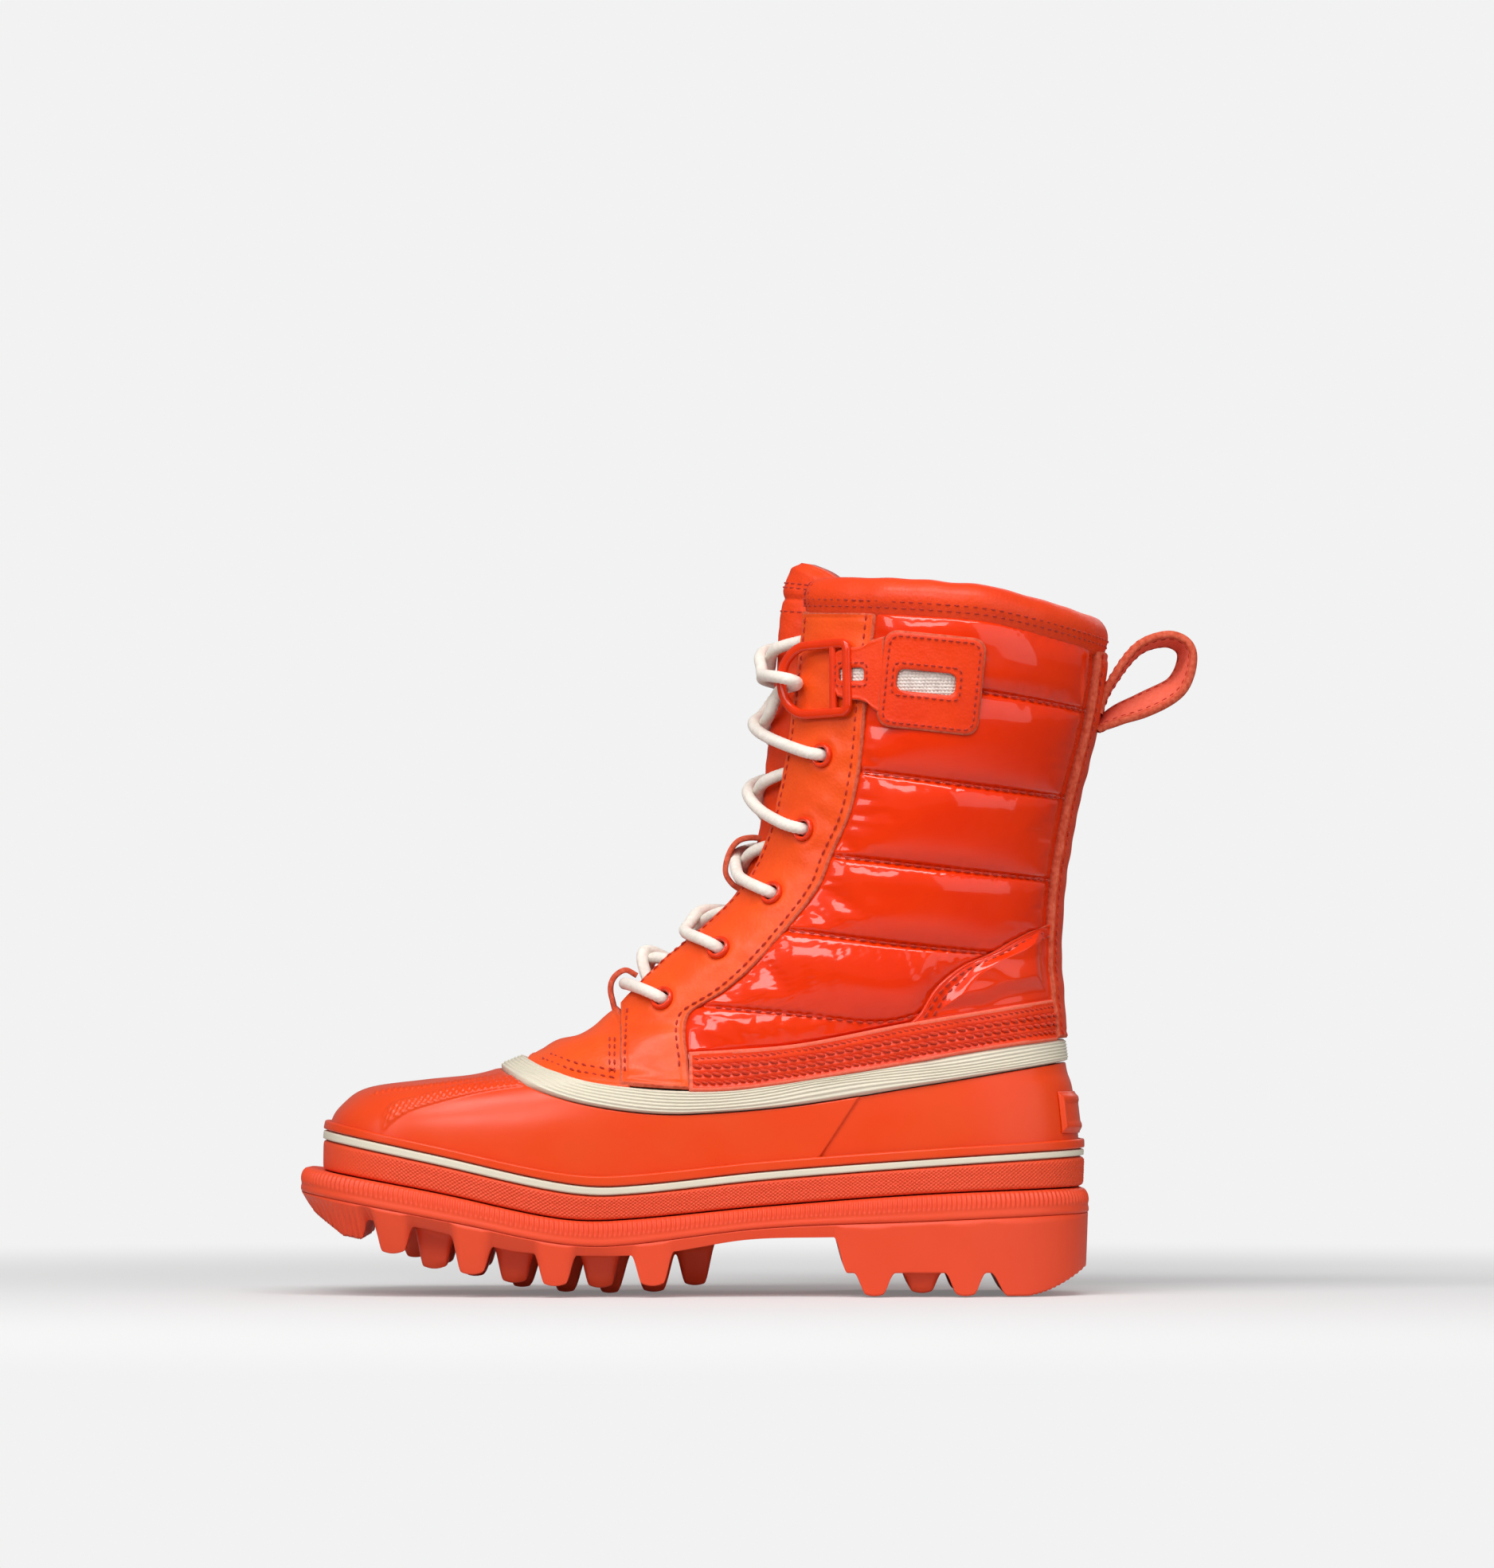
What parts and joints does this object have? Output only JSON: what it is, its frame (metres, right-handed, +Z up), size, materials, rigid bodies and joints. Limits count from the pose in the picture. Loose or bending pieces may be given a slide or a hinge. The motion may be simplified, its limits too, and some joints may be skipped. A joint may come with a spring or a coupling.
{
  "type": "lace-up winter boot",
  "caption": "Lace-up winter boot for the left foot: lugged rubber galosh, quilted patent shaft, leather facings, felt inner boot, lace, hinged lace rings and a pull loop.",
  "frame": {"origin": "centre of the boot's box, at the height of the lowest lug faces it stands on", "axes": "-X towards the toe, +X towards the heel and pull loop, -Y towards the lateral (outer) side of the left foot, +Z up"},
  "size_m": [0.3255, 0.1142, 0.2666],
  "materials": {
    "outsole_rubber": "matte moulded rubber",
    "shell_rubber": "satin moulded rubber",
    "cream_rubber": "matte ribbed rubber",
    "patent_quilting": "high-gloss patent, quilted",
    "leather": "satin grained leather",
    "lacquered_hardware": "glossy lacquer",
    "webbing": "ribbed webbing",
    "lace_cord": "round braid",
    "felt": "pressed felt"
  },
  "bodies": {
    "boot": {"outsole": "outsole_rubber", "rubber_shell": "shell_rubber", "foxing_band": "shell_rubber", "foxing_stripe": "cream_rubber", "foxing_bead": "shell_rubber", "rand_band": "cream_rubber", "heel_patch": "shell_rubber", "vamp": "leather", "eyestay_outer": "leather", "quarter_outer": "patent_quilting", "heel_counter_outer": "leather", "mudguard_outer": "leather", "eyelet_outer_1": "lacquered_hardware", "eyelet_outer_2": "lacquered_hardware", "eyelet_outer_3": "lacquered_hardware", "eyelet_outer_4": "lacquered_hardware", "eyelet_outer_5": "lacquered_hardware", "ring_tab_outer": "leather", "webbing_outer": "webbing", "eyestay_inner": "leather", "quarter_inner": "patent_quilting", "heel_counter_inner": "leather", "mudguard_inner": "leather", "eyelet_inner_1": "lacquered_hardware", "eyelet_inner_2": "lacquered_hardware", "eyelet_inner_3": "lacquered_hardware", "eyelet_inner_4": "lacquered_hardware", "eyelet_inner_5": "lacquered_hardware", "ring_tab_inner": "leather", "webbing_inner": "webbing", "backstay": "leather", "collar": "leather", "tongue": "leather", "inner_boot": "felt", "midsole_board": "felt", "footbed": "felt", "keeper_lower": "leather", "keeper_upper": "leather", "lace": "lace_cord", "aglet_outer": "lacquered_hardware", "aglet_inner": "lacquered_hardware"},
    "ring_outer": {"d_ring_outer": "lacquered_hardware"},
    "ring_inner": {"d_ring_inner": "lacquered_hardware"},
    "loop": {"pull_loop": "leather"}
  },
  "joints": [
    {"name": "ring_outer_hinge", "type": "hinge", "parent": "boot", "child": "ring_outer", "pos_m": [0.03605, -0.04452, 0.22307], "axis": [-0.0104, 0.0368, 0.9993], "range_deg": [0, 30], "deforming": ["lace"]},
    {"name": "ring_inner_hinge", "type": "hinge", "parent": "boot", "child": "ring_inner", "pos_m": [0.03605, 0.04452, 0.22307], "axis": [0.0104, 0.0368, -0.9993], "range_deg": [0, 30], "deforming": ["lace"]},
    {"name": "pull_loop_lift", "type": "hinge", "parent": "boot", "child": "loop", "pos_m": [0.1329, 0, 0.2224], "axis": [0, 1, 0], "range_deg": [-30, 0]}
  ]
}
